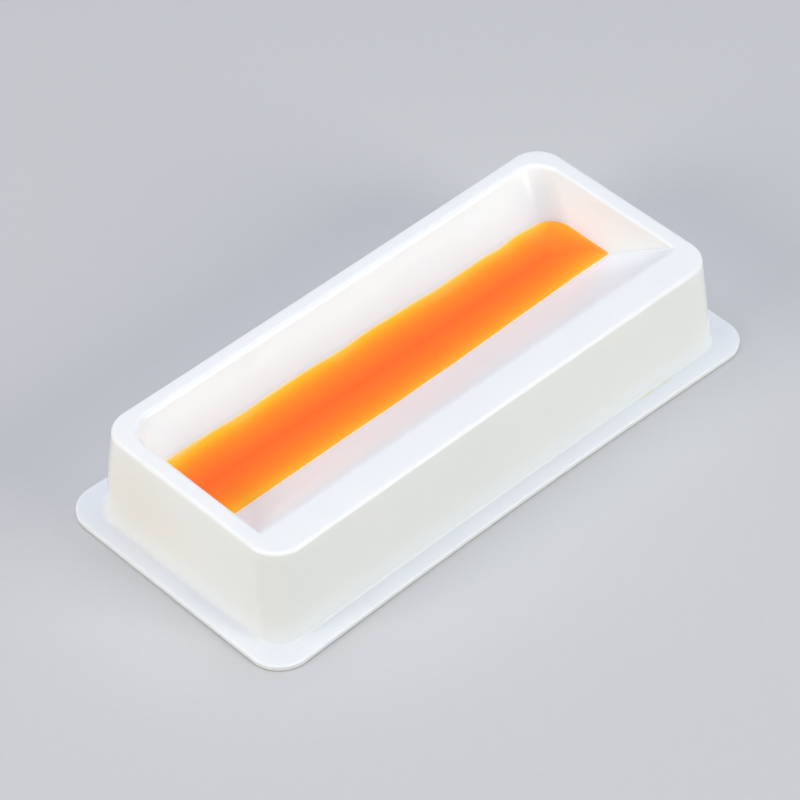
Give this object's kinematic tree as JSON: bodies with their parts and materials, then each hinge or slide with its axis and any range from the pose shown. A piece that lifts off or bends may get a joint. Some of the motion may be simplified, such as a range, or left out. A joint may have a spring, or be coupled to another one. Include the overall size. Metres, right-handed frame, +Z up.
{
  "type": "soap mould",
  "caption": "Low rectangular silicone mould on a foot flange, with a slanted trough nearer its back wall and a poured orange bar in the trough that lifts straight out.",
  "frame": {"origin": "centre of the underside, on the surface that the mould stands on", "axes": "+X along the trough; +Y across it, towards the steep back side of the trough; +Z up out of the trough's mouth"},
  "size_m": [0.1756, 0.084, 0.031],
  "materials": {
    "silicone": "satin, smooth, slightly translucent",
    "poured_orange": "glossy, wet-looking, lighter at its thin edges"
  },
  "bodies": {
    "mould": {"mould_body": "silicone"},
    "fill": {"poured_fill": "poured_orange"}
  },
  "joints": [
    {"name": "fill_lift", "type": "slide", "parent": "mould", "child": "fill", "axis": [0, 0, 1], "range_m": [0, 0.04]}
  ]
}
